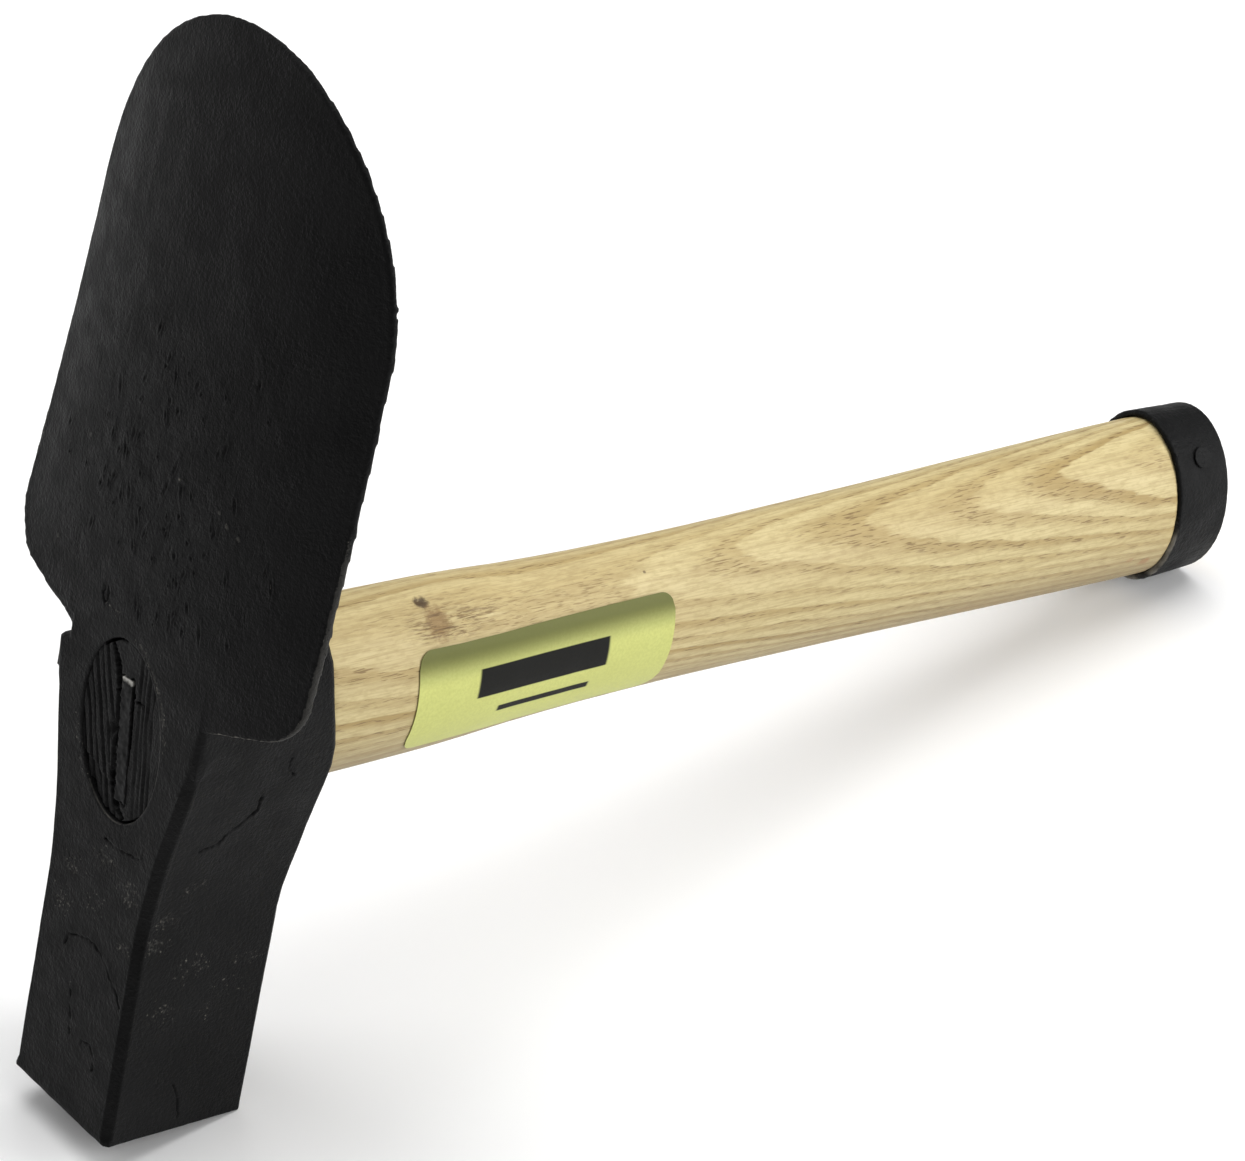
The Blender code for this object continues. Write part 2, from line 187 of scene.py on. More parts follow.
class Sculpt:
    """The points of a piece as an array, to be moved by rule and written back."""

    def __init__(self, item):
        self.mesh = item.data
        count = len(self.mesh.vertices)
        self.points = np.empty(count * 3)
        self.mesh.vertices.foreach_get("co", self.points)
        self.points = self.points.reshape(-1, 3)
        ends = np.empty(len(self.mesh.edges) * 2, int)
        self.mesh.edges.foreach_get("vertices", ends)
        self.ends = ends.reshape(-1, 2).T

    def neighbour_mean(self, values):
        first, second = self.ends
        count = len(values)
        total = np.zeros_like(values)
        for axis in range(values.shape[1]):
            total[:, axis] = np.bincount(first, values[second, axis], count)
            total[:, axis] += np.bincount(second, values[first, axis], count)
        number = np.bincount(first, minlength=count) + np.bincount(second, minlength=count)
        return total / number[:, None]

    def relax(self, rounds, share=1.0):
        """Smooths corners away without shrinking the whole."""
        share = np.reshape(share, (-1, 1))
        for _ in range(rounds):
            for strength in (0.50, -0.52):
                pull = self.neighbour_mean(self.points) - self.points
                self.points = self.points + strength * share * pull

    def normals(self):
        self.write()
        found = np.empty(len(self.mesh.vertices) * 3)
        self.mesh.vertex_normals.foreach_get("vector", found)
        return found.reshape(-1, 3)

    def raise_by(self, heights):
        """Moves each point along its normal."""
        self.points = self.points + self.normals() * heights[:, None]

    def write(self):
        self.mesh.vertices.foreach_set("co", self.points.ravel())
        self.mesh.update()

    def paint(self, name, values):
        """Keeps a value for each point, for the materials to read."""
        layer = self.mesh.attributes.new(name, "FLOAT", "POINT")
        layer.data.foreach_set("value", np.clip(values, 0, 1).astype(np.float32))


def grain(points, size, seed, detail=1):
    """Smooth noise from -1 to 1 over points, with lumps of a size in metres or one per axis."""
    scaled = points / np.asarray(size) + seed * 17.3
    total = np.zeros(len(points))
    for octave in range(detail):
        finer = 2.0**octave
        values = [noise.noise(Vector(p)) for p in scaled * finer]
        total += np.array(values) / finer
    return total


def bump_at(distance, width):
    """1 on a line or point, falling smoothly to nothing over about the width."""
    return np.exp(-((distance / width) ** 2))


def step_up(value, start, end):
    t = np.clip((value - start) / (end - start), 0, 1)
    return t * t * (3 - 2 * t)


def line_distance(flat, path):
    """Distance of flat points from a path of corners, and which side of it they are on."""
    best = np.full(len(flat), np.inf)
    side = np.zeros(len(flat))
    for start, end in zip(path, path[1:]):
        start, end = np.array(start), np.array(end)
        run = end - start
        share = np.clip((flat - start) @ run / (run @ run), 0, 1)
        offset = flat - (start + share[:, None] * run)
        distance = np.hypot(*offset.T)
        nearer = distance < best
        best = np.where(nearer, distance, best)
        turn = run[0] * offset[:, 1] - run[1] * offset[:, 0]
        side = np.where(nearer, np.sign(turn), side)
    return best, side


# Head

# Cracks and lifted flakes of scale, in millimetres on the face that they are on.
FRONT_FLAKES = (
    ((-13, 128), (-14, 130), (-13, 133), (-12, 131), (-12, 129), (-13, 128)),
    ((-7, 41), (-6, 44), (-2, 46), (3, 47), (8, 45), (11, 42), (14, 40), (16, 37)),
    ((-2, 31), (-1, 25), (0, 20)),
    ((4, 17), (5, 21), (8, 22), (10, 19), (10, 16)),
    ((1, 74), (6, 74), (14, 76)),
)
CHEEK_FLAKES = (
    ((9, 103), (9, 100), (11, 98)),
    ((4, 93), (4, 89), (1, 86), (-2, 84), (-4, 81), (-9, 80)),
    ((-2, 13), (0, 8), (1, 2)),
)
CRACK_WIDTH = 0.25 * MM
CRACK_DEPTH = 0.60 * MM
FLAKE_RISE = 0.13 * MM

# Chips knocked out of the blade's paint, in millimetres: across, height, radius.
BLADE_CHIPS = (
    (-30, 161, 0.9), (-38, 155, 0.6), (5, 168, 0.9), (-4, 160, 0.5), (22, 165, 1.1),
    (26, 164, 1.0), (19, 167, 0.8), (-35, 133, 0.8), (-18, 246, 0.5), (-6, 146, 0.5),
)
BLADE_PITS = 80

# Rubbed patches of the poll, in millimetres on their face: place, height, radius, how worn.
FRONT_RUBS = (
    (3, 69, 7, 0.46), (-9, 62, 8, 0.43), (-10, 51, 8, 0.42), (2, 57, 9, 0.39),
    (12, 66, 7, 0.46), (14, 52, 6, 0.42), (-3, 33, 7, 0.35),
)
CHEEK_RUBS = (
    (-13, 61, 4, 0.55), (-14, 54, 6, 0.48), (-3, 46, 9, 0.42), (-9, 35, 8, 0.44),
    (10, 38, 10, 0.40), (-7, 69, 6, 0.45), (14, 45, 8, 0.40), (4, 33, 8, 0.38),
)


def blade_pits():
    """Pits and short cracks scattered over the lower middle of the blade's front."""
    draw = random.Random(12)
    spots = []
    for _ in range(BLADE_PITS):
        across = max(-40, min(40, draw.gauss(0, 17)))
        height = draw.triangular(128, 208, 150)
        spots.append((across, height, draw.uniform(0.22, 0.55), draw.uniform(1.0, 5.0)))
    return spots


def rim_distance(points):
    """How far points lie inside the blade's outline, seen from the front."""
    x, z = np.abs(points[:, 0]), points[:, 2]
    rise = np.maximum(0, z - BLADE_CROWN_START) / (BLADE_TIP - BLADE_CROWN_START)
    below_crown = BLADE_HALF_WIDTH * (1 - np.hypot(x / BLADE_HALF_WIDTH, rise))
    return np.minimum(below_crown, widest(points, BLADE_FOOT, BLADE_TIP, 2 * MM) - x)


def widest(points, low, high, step):
    """Half the width of the whole shape at each point's height, between two heights."""
    x, z = np.abs(points[:, 0]), points[:, 2]
    levels = np.arange(low, high, step)
    bins = np.clip(((z - low) / step + 0.5).astype(int), 0, len(levels) - 1)
    widths = np.zeros(len(levels))
    np.maximum.at(widths, bins, x)
    return np.interp(z, levels, widths)


def eye_distance(points):
    """How far points lie outside the eye's outline, seen along the handle."""
    x, z = points[:, 0], points[:, 2] - EYE_CENTRE.z
    cosine, sine = math.cos(-EYE_TILT), math.sin(-EYE_TILT)
    across, along = x * cosine + z * sine, z * cosine - x * sine
    scaled = np.hypot(across / EYE_HALF_ACROSS, along / EYE_HALF_ALONG)
    reach = np.hypot(across, along)
    return reach * (1 - 1 / np.maximum(scaled, 1e-6))


def corner_distances(points):
    """How far points lie inside the poll's cheeks and behind its front face."""
    widths = widest(points, 1.5 * MM, CHAMFER_TOP + 10 * MM, 3 * MM)
    inward = widths - np.abs(points[:, 0])
    return inward, points[:, 1] - FRONT


def wanted_detail(points, normals):
    """Where the skin has to be finer: eye rim, front corners, scale flakes and blade pits."""
    x, y, z = points.T
    inward, behind = corner_distances(points)
    wanted = (y < -0.010) & (np.abs(eye_distance(points)) < 2.0 * MM)
    wanted |= (inward < 3.2 * MM) & (behind < 3.2 * MM) & (z < CHAMFER_TOP + 2 * MM)
    low = z < 0.136
    for facing, axes, paths in (
        (normals[:, 1] < -0.6, (0, 2), FRONT_FLAKES),
        (normals[:, 0] > 0.7, (1, 2), CHEEK_FLAKES),
    ):
        for path in paths:
            distance = line_distance(points[:, axes], np.array(path) * MM)[0]
            wanted |= low & facing & (distance < 1.4 * MM)
    for across, height, radius, length in blade_pits():
        near = np.hypot(x - across * MM, (z - height * MM) / max(1.0, length * 0.6))
        wanted |= (normals[:, 1] < -0.6) & (near < (radius + 0.9) * MM) & (z > 0.120)
    return wanted


def build_head():
    """The forged head: hammer marks, scale flakes, pits and the folds where the blade starts."""
    head = add_piece("forged_head", cad_shape("head"), ["head"])
    remesh(head, HEAD_VOXEL)
    sculpt = Sculpt(head)
    sculpt.relax(5)
    rim = (sculpt.points[:, 2] > BLADE_FOOT) & (rim_distance(sculpt.points) < RIM_WIDTH)
    sculpt.relax(RIM_ROUNDS, rim)
    sculpt.write()
    refine(head, wanted_detail, 2)
    sculpt = Sculpt(head)
    sculpt.relax(2)
    sharpen_corners(sculpt)
    fold_shoulder(sculpt)
    points, normals = sculpt.points, sculpt.normals()
    front = (normals[:, 1] < -0.6) & (points[:, 1] < 0.012)
    cheek = (np.abs(normals[:, 0]) > 0.7) & (points[:, 2] < BLADE_FOOT)
    blade = step_up(points[:, 2], 0.112, 0.130)
    quiet = 1 - blade * (1 - 0.9 * step_up(rim_distance(points), 6 * MM, 24 * MM))
    heights = 0.07 * MM * (1 - 0.6 * blade) * grain(points, 14 * MM, 1)
    heights += 0.035 * MM * (1 - 0.5 * blade) * grain(points, 4 * MM, 2, 2)
    heights *= quiet
    forge_marks(heights, points, front, cheek)
    sculpt.raise_by(heights)
    keep_in_box(sculpt)
    paint_wear_and_painted_light(sculpt, front, cheek)
    sculpt.write()
    head.data.shade_smooth()
    return head


def forge_marks(heights, points, front, cheek):
    """Adds cracks, flakes, pits and the faint ridges of the blade to the heights."""
    x, y, z = points.T
    blade = front & (z >= 0.125)
    carve_flakes(heights, points[:, (0, 2)], front & (z < 0.135), FRONT_FLAKES)
    carve_flakes(heights, points[:, (1, 2)], cheek & (x > 0), CHEEK_FLAKES)
    far_side = [[(2 - place, 108 - height) for place, height in path] for path in CHEEK_FLAKES]
    carve_flakes(heights, points[:, (1, 2)], cheek & (x < 0), far_side)
    lower = step_up(z, 0.125, 0.140) * (1 - step_up(z, 0.185, 0.215))
    rough = np.maximum(0, grain(points * (1, 1, 0.45), 2.4 * MM, 5) - 0.20)
    heights -= blade * lower * 0.26 * MM * rough * (1 - step_up(np.abs(x), 0.028, 0.042))
    uneven = 1 + 0.6 * grain(points, 2 * MM, 6)
    for across, height, radius, length in blade_pits():
        lean = 0.25 * math.sin(across * 7.0)
        distance = np.hypot(x - across * MM - lean * (z - height * MM), (z - height * MM) / length)
        heights -= blade * 0.24 * MM * uneven * bump_at(distance, radius * MM * 0.6)
        heights += blade * 0.09 * MM * bump_at(distance - 1.6 * radius * MM, radius * MM * 0.6)
    for across, height, radius in BLADE_CHIPS:
        distance = reach_from(x, z, across, height)
        heights += blade * 0.12 * MM * bump_at(distance, radius * MM)
    struck = bump_at(z, 5 * MM) * grain(points, 6 * MM, 8, 2)
    heights += 0.10 * MM * struck
    heights += crease(points) * blade
    scar = np.sqrt((x - 0.0262) ** 2 + (y + 0.0160) ** 2 + (0.6 * (z - 0.1080)) ** 2)
    heights += 0.45 * MM * bump_at(scar, 2.2 * MM) * (1 + 0.8 * grain(points, 1.6 * MM, 9))


def reach_from(x, z, across, height):
    """Distance from a spot given in millimetres."""
    return np.hypot(x - across * MM, z - height * MM)


def carve_flakes(heights, flat, chosen, paths):
    """Thin uneven cracks along the paths, with the scale lifted a little along one side."""
    spread = flat3(flat)
    wander = np.column_stack([grain(spread, 1.3 * MM, seed) for seed in (3, 4)])
    wavy = flat + 0.45 * MM * wander
    uneven = np.clip(0.55 + 1.1 * grain(spread, 3.0 * MM, 10), 0.05, 1.2)
    for path in paths:
        distance, side = line_distance(wavy, np.array(path) * MM)
        heights -= chosen * uneven * CRACK_DEPTH * bump_at(distance, CRACK_WIDTH)
        lifted = (side > 0) * bump_at(distance - 0.8 * MM, 0.8 * MM)
        heights += chosen * uneven * FLAKE_RISE * lifted


def flat3(flat):
    """Points across and up as points in space, for noise."""
    return np.column_stack([flat, np.zeros(len(flat))])


def sharpen_corners(sculpt):
    """Gives the poll's front corners back the flat chamfers that the even skin rounded off."""
    points = sculpt.points
    inward, behind = corner_distances(points)
    bevel = (CHAMFER - inward - behind) / math.sqrt(2)
    outside = np.maximum(np.maximum(-inward, -behind), bevel)
    near = (inward < 3 * MM) & (behind < 3 * MM)
    fade = 1 - step_up(points[:, 2], CHAMFER_TOP - 3 * MM, CHAMFER_TOP)
    fade *= step_up(points[:, 2], 0.8 * MM, 2.8 * MM)
    sculpt.raise_by(near * fade * np.clip(-outside, -0.5 * MM, 0.6 * MM))


def fold_shoulder(sculpt):
    """The bite where the left shoulder runs into the collar, and the lip above it."""
    points = sculpt.points
    across = -points[:, 0]
    outer = step_up(across, 0.0225, 0.0260) * (1 - step_up(across, 0.0300, 0.0345))
    offset = points[:, 2] - 0.1160 - 0.10 * (across - 0.0265)
    level = 1 - step_up(np.abs(offset), 3.0 * MM, 4.2 * MM)
    points[:, 0] += 3.4 * MM * outer * level
    lip = step_up(across, 0.027, 0.031) * bump_at(points[:, 2] - 0.1238, 2.4 * MM)
    points[:, 0] -= 0.9 * MM * lip
    points[:, 2] -= 1.1 * MM * lip


def crease(points):
    """The faint ridge on each side of the flattened middle of the blade."""
    x, z = points[:, 0], points[:, 2]
    edge = 0.0083 + (0.223 - z) * 0.74
    inside = step_up(z, 0.176, 0.196) * (1 - step_up(z, 0.218, 0.236))
    right = np.exp(-np.hypot(x - edge, 0.4 * MM) / (6 * MM))
    left = 0.4 * np.exp(-np.hypot(x + 0.9 * edge, 0.8 * MM) / (6 * MM))
    return 0.24 * MM * inside * (right + left)


def keep_in_box(sculpt):
    """Holds every point inside the CAD head's box."""
    low, high = (np.array(corner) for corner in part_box("head"))
    turn = np.array(HAMMER)[:3, :3]
    shift = np.array(HAMMER)[:3, 3]
    world = sculpt.points @ turn.T + shift
    world = np.clip(world, low, high)
    sculpt.points = (world - shift) @ turn


def paint_wear_and_painted_light(sculpt, front, cheek):
    """Where the paint is worn to steel: edges, the eye's rim, chips and rubbed patches. Also
    painted light: highlights on the eye's lit rim, the blade's left rim and the plate's right
    edge, and shade on the poll's front chamfers.
    """
    points, normals = sculpt.points, sculpt.normals()
    x, y, z = points.T
    patchy = 0.5 + 0.5 * grain(points, 7 * MM, 11, 2)
    outward = ((points - sculpt.neighbour_mean(points)) * normals).sum(axis=1)
    wear = 0.30 * step_up(outward, 0.02 * MM, 0.10 * MM) * patchy
    outside_eye = eye_distance(points)
    rim = bump_at(outside_eye - 0.80 * MM, 0.32 * MM) * (y < FRONT + 0.45 * MM)
    # Painted highlight: the eye's rim is worn all round, and its right and lower side, where its
    # bevel faces the light, is brightened further.
    right_or_low = step_up(0.9 * x - (z - EYE_CENTRE.z) * 0.7, 0.000, 0.009)
    wear += rim * (0.25 + 0.62 * right_or_low) * (0.8 + 0.4 * grain(points, 3 * MM, 15))
    halo = bump_at(outside_eye - 2.4 * MM, 1.6 * MM) * front
    upper_right = step_up(x, -0.006, 0.004) * step_up(z, 0.100, 0.108)
    lower_left = step_up(-x, 0.004, 0.010) * (1 - step_up(z, 0.096, 0.104))
    wear += 0.52 * halo * (upper_right + 0.90 * lower_left)
    above = np.hypot((x + 9 * MM) / 1.6, z - 0.1275)
    wear += 0.42 * bump_at(above, 4.0 * MM) * front
    wear *= 1 + 0.12 * grain(points, 2.2 * MM, 16)
    # Painted highlight: a bright steel tone along the blade's left rim, standing for the light it
    # catches at a grazing angle.
    left_rim_highlight = (x < 0) * step_up(z, 0.130, 0.145) * (1 - step_up(z, 0.215, 0.245))
    wear += 0.57 * left_rim_highlight * (1 - step_up(rim_distance(points), 0.8 * MM, 2.6 * MM))
    for across, height, radius in BLADE_CHIPS:
        distance = reach_from(x, z, across, height)
        wear += 0.9 * front * (z > 0.120) * bump_at(distance, radius * MM * 0.8)
    for across, height, radius, _ in blade_pits()[::4]:
        distance = reach_from(x, z, across + radius, height)
        wear += 0.75 * front * (z > 0.120) * bump_at(distance, 0.35 * MM)
    rubbed = np.zeros(len(x))
    for chosen, place, spots in ((front & (z < 0.100), x, FRONT_RUBS), (cheek, y, CHEEK_RUBS)):
        for across, height, radius, worn in spots:
            distance = np.hypot(place - across * MM, (z - height * MM) * 1.3)
            rubbed = np.maximum(rubbed, worn * chosen * bump_at(distance, radius * MM * 1.2))
    wear += rubbed * (1 + 0.25 * grain(points, 2.5 * MM, 17, 2))
    # Worn steel along the plate's right edge, brightened further as a painted highlight, most at
    # its foot where it lies in shade.
    plate_edge = (np.abs(normals[:, 1]) < 0.75) & (x > 0.029) & (z > 0.104)
    plate_edge &= (y < -0.0130) | (z > 0.126)
    wear += 0.60 * plate_edge * (1 - step_up(z, 0.168, 0.192))
    wear += 0.35 * plate_edge * (1 - step_up(z, 0.120, 0.130))
    sculpt.paint("wear", wear)
    # Painted shade: a share on the poll's front chamfers that darkens their paint, standing for
    # the dark reflection they show.
    inward, behind = corner_distances(points)
    bevel = step_up(np.minimum(inward, behind), 0.0, 0.2 * MM)
    uneven = 0.12 * MM * (1 + grain(points, 1.5 * MM, 13))
    bevel *= 1 - step_up(inward + behind - CHAMFER - uneven, 0.0, 0.4 * MM)
    bevel *= 0.85 + 0.3 * grain(points, 3 * MM, 14, 2)
    sculpt.paint("chamfer_shade", bevel * (1 - step_up(z, CHAMFER_TOP, CHAMFER_TOP + 2 * MM)))
    lower = step_up(z, BLADE_FOOT, 0.140) * (1 - step_up(z, 0.195, 0.225))
    middle = 1 - step_up(np.abs(x), 0.026, 0.044)
    sculpt.paint("pitted", np.where(z < BLADE_FOOT, 0.30, lower * middle))


# Handle

# The torn fibres beside the label: middle and half size, and the knot they start from.
TORN_CENTRE = np.array((0.0100, 0.0640, 0.1180))
TORN_HALF = np.array((0.0070, 0.0160, 0.0058))
KNOT = np.array((0.0047, 0.0584, 0.1222))


def build_handle():
    """The ash handle outside the eye, with fibres torn where the grain runs out."""
    shape = cad_shape("handle", keep_from=HANDLE_START)
    handle = add_piece("ash_handle", shape, ["handle"])
    remesh(handle, 0.9 * MM)
    sculpt = Sculpt(handle)
    sculpt.relax(5)
    sculpt.write()
    refine(handle, in_torn_patch, 2)
    sculpt = Sculpt(handle)
    sculpt.relax(1)
    points = sculpt.points
    heights = 0.06 * MM * grain(points, (0.020, 0.060, 0.020), 21)
    heights += 0.018 * MM * grain(points, (1.3 * MM, 14 * MM, 1.3 * MM), 22)
    torn = torn_share(points)
    ragged = grain(points, (0.8 * MM, 4.0 * MM, 0.8 * MM), 23, 2)
    heights += torn * 0.45 * MM * np.minimum(0.20, ragged - 0.15)
    knot = np.linalg.norm((points - KNOT) / (1.0, 1.6, 1.0), axis=1)
    heights -= 0.55 * MM * bump_at(knot + 0.4 * MM * ragged, 0.9 * MM)
    sculpt.raise_by(heights)
    sculpt.paint("torn", torn)
    sculpt.write()
    handle.data.shade_smooth()
    return handle


def torn_share(points):
    """1 in the middle of the torn patch on the handle's right side, 0 outside it."""
    offset = (points - TORN_CENTRE) / TORN_HALF
    distance = np.sqrt((offset**2).sum(axis=1)) + 0.30 * grain(points, 4 * MM, 24)
    return (1 - step_up(distance, 0.35, 1.0)) * (points[:, 0] > 0.002)


def in_torn_patch(points, normals):
    """Whether points lie on the skin about the torn patch, where it has to be finer."""
    distance = np.hypot(*(points - TORN_CENTRE)[:, 1:].T)
    return (distance < 17 * MM) & (points[:, 0] > 0.002) & (normals[:, 0] > 0)


# Tenon, in millimetres across and up: the cracks beside the wedge, as places and half widths.
LEFT_GAP = (
    (-7.4, 120.4, 0.25), (-4.8, 116.8, 0.95), (-3.5, 113.2, 0.70), (-2.5, 106.0, 0.32),
    (-1.7, 100.0, 0.28), (-1.0, 93.0, 0.42), (-0.2, 87.5, 0.80), (1.8, 83.5, 0.95),
    (5.0, 81.8, 0.60),
)
RIGHT_GAP = (
    (1.4, 115.4, 0.45), (2.0, 112.0, 0.60), (2.8, 106.0, 0.42), (3.6, 100.0, 0.25),
    (4.3, 95.0, 0.10),
)
SHORT_GAP = ((4.2, 111.3, 0.30), (6.4, 111.0, 0.30))

# Split strips of the tenon: where each starts across it and how far it is sunk, in millimetres.
LEFT_STRIPS = (
    (-15.0, 0.10), (-12.6, 0.24), (-10.2, 0.05), (-7.8, 0.20), (-5.4, 0.0), (-3.0, 0.14),
)
RIGHT_STRIPS = ((6.0, 0.22), (7.8, 0.06), (9.4, 0.26), (11.2, 0.12))
LEFT_CLEFT = 0.75
RIGHT_CLEFT = 0.40
GAP_FLOOR = 5.0
SLOT_FLOOR = 6.0


def build_tenon():
    """The split, black end of the tenon: strips of wood either side of the driven wedge."""
    columns, rows = 110, 150
    builder = bmesh.new()
    turn = Matrix.Rotation(EYE_TILT, 3, "Y")
    grid = []
    for c in range(columns + 1):
        u = math.sin(math.pi / 2 * (2 * c / columns - 1))
        half = max(0.02, math.sqrt(max(0.0, 1 - u * u)))
        column = []
        for r in range(rows + 1):
            v = (2 * r / rows - 1) * half
            across, along = EYE_HALF_ACROSS + TENON_FLARE, EYE_HALF_ALONG + TENON_FLARE
            flat = turn @ Vector((across * u, 0.0, along * v))
            column.append(builder.verts.new(EYE_CENTRE + flat))
        grid.append(column)
    for c in range(columns):
        for r in range(rows):
            corners = (grid[c][r], grid[c + 1][r], grid[c + 1][r + 1], grid[c][r + 1])
            builder.faces.new(corners)
    depths = tenon_depth(np.array([vert.co for vert in builder.verts]))
    for vert, depth in zip(builder.verts, depths):
        vert.co.y = min(TENON_FACE + depth, TENON_FOOT - 0.5 * MM)
    rim = [edge for edge in builder.edges if edge.is_boundary]
    skirt = bmesh.ops.extrude_edge_only(builder, edges=rim)
    foot = [item for item in skirt["geom"] if isinstance(item, bmesh.types.BMVert)]
    for vert in foot:
        vert.co = EYE_CENTRE + 0.978 * (vert.co - EYE_CENTRE)
        vert.co.y = TENON_FOOT
    open_edges = [edge for edge in builder.edges if edge.is_boundary]
    bmesh.ops.holes_fill(builder, edges=open_edges, sides=0)
    bmesh.ops.recalc_face_normals(builder, faces=builder.faces)
    tenon = add_piece("tenon_end", builder)
    tenon.data.shade_smooth()
    return tenon


def tenon_depth(points):
    """How far the tenon's end is sunk at each point, in metres."""
    x, z = points[:, 0] / MM, points[:, 2] / MM
    flat = np.column_stack([x, z])
    spread = flat3(flat)
    wander = 0.55 * grain(spread, (4.0, 10.0, 1.0), 51)
    left = x < wedge_line(z)
    strip = np.where(left, x + 0.36 * (z - 101), x + 0.13 * (z - 101)) + wander
    depth = np.zeros(len(x))
    sides = ((left, LEFT_STRIPS, LEFT_CLEFT), (~left, RIGHT_STRIPS, RIGHT_CLEFT))
    for chosen, strips, cleft in sides:
        level = 0.12
        for edge, above in strips:
            depth += chosen * (above - level) * step_up(strip, edge - 0.1, edge + 0.1)
            level = above
            cut = bump_at(strip - edge, 0.26)
            depth += chosen * cut * (cleft + 0.5 * grain(spread, (3.0, 5.0, 1.0), 52))
        depth += chosen * 0.12
    depth += 0.09 * grain(spread, (0.7, 5.0, 1.0), 53) + 0.06 * grain(spread, (0.3, 2.5, 1.0), 54)
    for path in (LEFT_GAP, RIGHT_GAP, SHORT_GAP):
        depth = np.maximum(depth, gap_depth(flat, path, spread))
    slot_x, slot_z = x - wedge_line(z), z - WEDGE_MIDDLE[1]
    slot = (np.abs(slot_x) < WEDGE_HALF[0] + 0.12) & (np.abs(slot_z) < WEDGE_HALF[1] + 0.15)
    depth = np.where(slot, SLOT_FLOOR, depth)
    notch = np.hypot((x + 3.2) / 1.2, (z - 100.5) / 2.4)
    depth += 1.5 * bump_at(notch, 0.8)
    broken = left & (z < 87 - 0.3 * x + 0.6 * grain(spread, (1.2, 1.0, 1.0), 55))
    depth += 0.35 * broken
    from_rim = (TENON_FLARE - eye_distance(points)) / MM
    loose = (x < -3) & (x > -10) & (z > 110) | (z < 85)
    depth = np.where(loose & (from_rim < 0.42 + 0.3 * wander), GAP_FLOOR, depth)
    return depth * MM


def wedge_line(z):
    """Where the middle of the wedge lies at a height, in millimetres."""
    return WEDGE_MIDDLE[0] + (z - WEDGE_MIDDLE[1]) * math.tan(EYE_TILT)


def gap_depth(flat, path, spread):
    """Depth of an open crack along a path whose half width changes from place to place."""
    ragged = 0.22 * grain(spread, (0.9, 0.9, 1.0), 56)
    depth = np.zeros(len(flat))
    for (x0, z0, w0), (x1, z1, w1) in zip(path, path[1:]):
        start, run = np.array((x0, z0)), np.array((x1 - x0, z1 - z0))
        share = np.clip((flat - start) @ run / (run @ run), 0, 1)
        distance = np.hypot(*(flat - start - share[:, None] * run).T)
        width = w0 + (w1 - w0) * share + ragged
        inside = 1 - step_up(distance - width, -0.1, 0.1)
        depth = np.maximum(depth, GAP_FLOOR * inside)
    return depth


def build_wedge():
    """The steel wedge, its driven end burred and chipped."""
    wedge = add_piece("driven_wedge", cad_shape("steel_wedge"), ["steel_wedge"])
    remesh(wedge, 0.32 * MM)
    sculpt = Sculpt(wedge)
    sculpt.relax(2)
    points = sculpt.points
    outer = 1 - step_up(points[:, 1], FRONT + 1 * MM, FRONT + 4 * MM)
    heights = outer * 0.22 * MM * grain(points, 1.4 * MM, 31, 2)
    top = step_up(points[:, 2], 0.1120, 0.1150)
    heights -= outer * top * 0.55 * MM * np.abs(grain(points, 1.0 * MM, 32))
    sculpt.raise_by(heights)
    sculpt.paint("wear", outer * (0.12 + 0.75 * top))
    sculpt.write()
    wedge.data.shade_smooth()
    return wedge


# Butt band and nail

BAND_SKEW = math.tan(math.radians(-6))
BAND_DENTS = ((0.0165, 0.3120, 0.0970, 0.0016), (0.0170, 0.3190, 0.1085, 0.0022))


def build_ferrule():
    """The black band on the butt: dented, with a bare, uneven front edge."""
    ferrule = add_piece("butt_band", cad_shape("butt_ferrule"), ["butt_ferrule"])
    remesh(ferrule, 0.42 * MM)
    sculpt = Sculpt(ferrule)
    sculpt.relax(3)
    points = sculpt.points
    heights = 0.10 * MM * grain(points, 9 * MM, 41) + 0.05 * MM * grain(points, 3 * MM, 42)
    skewed = points[:, 1] - BAND_SKEW * (points[:, 2] - EYE_CENTRE.z)
    front = 1 - step_up(skewed, skewed.min() + 0.3 * MM, skewed.min() + 1.5 * MM)
    heights += front * 0.16 * MM * grain(points, 2.2 * MM, 43, 2)
    patchy = 0.5 + 0.5 * grain(points, 5 * MM, 44, 2)
    rear = step_up(skewed, skewed.max() - 1.0 * MM, skewed.max())
    low = 1 - step_up(points[:, 2], 0.094, 0.106)
    wear = front * (0.30 + low * (0.25 + 0.75 * patchy)) + 0.35 * rear * patchy
    for x, y, z, radius in BAND_DENTS:
        dent = bump_at(np.linalg.norm(points - (x, y, z), axis=1), radius)
        heights -= 0.25 * MM * dent
        wear += 0.40 * dent
    sculpt.raise_by(heights)
    sculpt.paint("wear", wear)
    sculpt.write()
    ferrule.data.shade_smooth()
    return ferrule


def build_nail():
    """The nail in the band, its domed head struck nearly flat."""
    nail = add_piece("band_nail", cad_shape("ferrule_nail"), ["ferrule_nail"])
    remesh(nail, 0.16 * MM)
    sculpt = Sculpt(nail)
    sculpt.relax(3)
    points = sculpt.points
    middle = points.mean(axis=0)
    axis = np.linalg.svd(points - middle, full_matrices=False)[2][0]
    axis *= np.sign(axis[0])
    reach = (points - middle) @ axis
    above = np.maximum(0, reach - reach.max() + 0.9 * MM)
    sculpt.points = points - 0.95 * above[:, None] * axis
    sculpt.raise_by(0.05 * MM * grain(points, 1.1 * MM, 45, 2))
    sculpt.paint("wear", np.full(len(points), 0.25))
    sculpt.write()
    nail.data.shade_smooth()
    return nail


# Label

LABEL_THICKNESS = 0.14 * MM
LABEL_CORNER = 4.0 * MM
LABEL_OFF_WOOD = 0.12 * MM
LABEL_COLUMNS = 120
LABEL_ROWS = 52
# Painted shade on the label's top edge: where it starts and where it is full, as shares of the
# label's height.
LABEL_SHADE = (0.64, 0.93)


